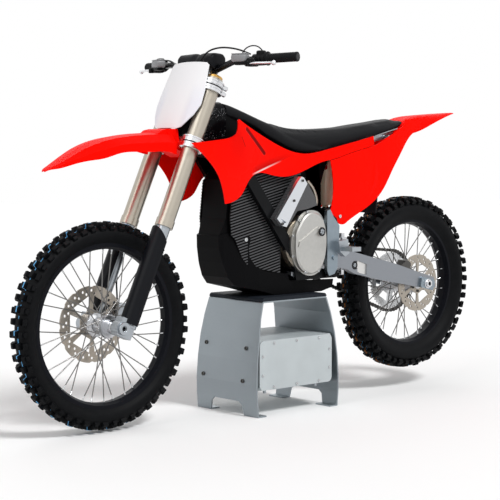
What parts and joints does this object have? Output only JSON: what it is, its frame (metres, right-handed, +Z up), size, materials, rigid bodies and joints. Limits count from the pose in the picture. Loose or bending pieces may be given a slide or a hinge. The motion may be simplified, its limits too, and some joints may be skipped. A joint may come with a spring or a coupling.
{
  "type": "dirt bike on paddock stand",
  "caption": "Electric motocross bike with knobbed wire-spoke wheels, long forks, battery pack, swingarm and chain drive, raised on a floor stand that holds a charger box.",
  "frame": {"origin": "on the floor under the middle of the bike's length", "axes": "+X towards the front wheel, +Y to the bike's left, +Z up"},
  "size_m": [2.1694, 0.8266, 1.2906],
  "materials": {
    "arm_silver": "satin casting",
    "axle_steel": "ground",
    "bar_black": "satin",
    "battery_black": "satin, ribbed casting",
    "chain_steel": "oiled",
    "charger_grey": "satin",
    "clamp_silver": "machined, satin",
    "control_silver": "satin",
    "cover_black": "gloss",
    "disc_steel": "ground",
    "fork_gold": "champagne anodised",
    "frame_black": "satin",
    "grip_rubber": "ribbed",
    "guard_black": "semi-gloss",
    "hose_black": "satin",
    "hose_pale": "satin",
    "hub_silver": "cast, satin",
    "inverter_silver": "machined, satin",
    "motor_grey": "satin casting",
    "plastic_black": "matte",
    "plastic_red": "gloss",
    "plastic_white": "gloss",
    "rim_black": "satin black",
    "seat_cover": "textured vinyl cloth",
    "shock_gold": "champagne anodised",
    "spring_white": "gloss",
    "sprocket_dark": "anodised",
    "stand_grey": "silver powder coat",
    "stand_rubber": "matte",
    "tyre_black": "matte, knobbed"
  },
  "bodies": {
    "chassis": {"main_frame": "frame_black", "battery_case": "battery_black", "skid_plate": "plastic_black", "motor_housing": "motor_grey", "motor_cover": "motor_grey", "inverter_case": "inverter_silver", "pivot_plates": "clamp_silver", "swingarm": "arm_silver", "axle_blocks": "hub_silver", "rear_axle": "axle_steel", "rear_caliper": "control_silver", "drive_chain": "chain_steel", "drive_sprocket": "sprocket_dark", "chain_guide": "plastic_black", "shock_absorber": "shock_gold", "shock_spring": "spring_white", "subframe": "frame_black", "seat": "seat_cover", "tank_cover": "cover_black", "shrouds": "plastic_red", "side_panels": "plastic_red", "rear_fender": "plastic_red", "mud_flap": "plastic_black", "footpegs": "axle_steel", "stand_plates": "stand_grey", "stand_top": "stand_rubber", "charger_box": "charger_grey", "charger_cover": "charger_grey"},
    "fork": {"triple_clamps": "clamp_silver", "fork_tubes": "fork_gold", "fork_legs": "hub_silver", "fork_guards": "guard_black", "front_axle": "axle_steel", "front_caliper": "control_silver", "front_fender": "plastic_red", "number_plate": "plastic_white", "handlebar": "bar_black", "bar_pad": "plastic_black", "grips": "grip_rubber", "hand_controls": "control_silver", "front_brake_hose": "hose_black", "rear_brake_hose": "hose_pale"},
    "front_wheel": {"front_tyre": "tyre_black", "front_rim": "rim_black", "front_hub": "hub_silver", "front_disc": "disc_steel"},
    "rear_wheel": {"rear_tyre": "tyre_black", "rear_rim": "rim_black", "rear_hub": "hub_silver", "rear_disc": "disc_steel", "rear_sprocket": "sprocket_dark"}
  },
  "joints": [
    {"name": "steering", "type": "hinge", "parent": "chassis", "child": "fork", "pos_m": [0.36795, 0, 1.04003], "axis": [-0.4115, 0, 0.9114], "range_deg": [-42, 42]},
    {"name": "front_wheel_spin", "type": "hinge", "parent": "fork", "child": "front_wheel", "pos_m": [0.7365, 0, 0.355], "axis": [0, 1, 0], "continuous": true},
    {"name": "rear_wheel_spin", "type": "hinge", "parent": "chassis", "child": "rear_wheel", "pos_m": [-0.7435, 0, 0.418], "axis": [0, 1, 0], "continuous": true}
  ]
}
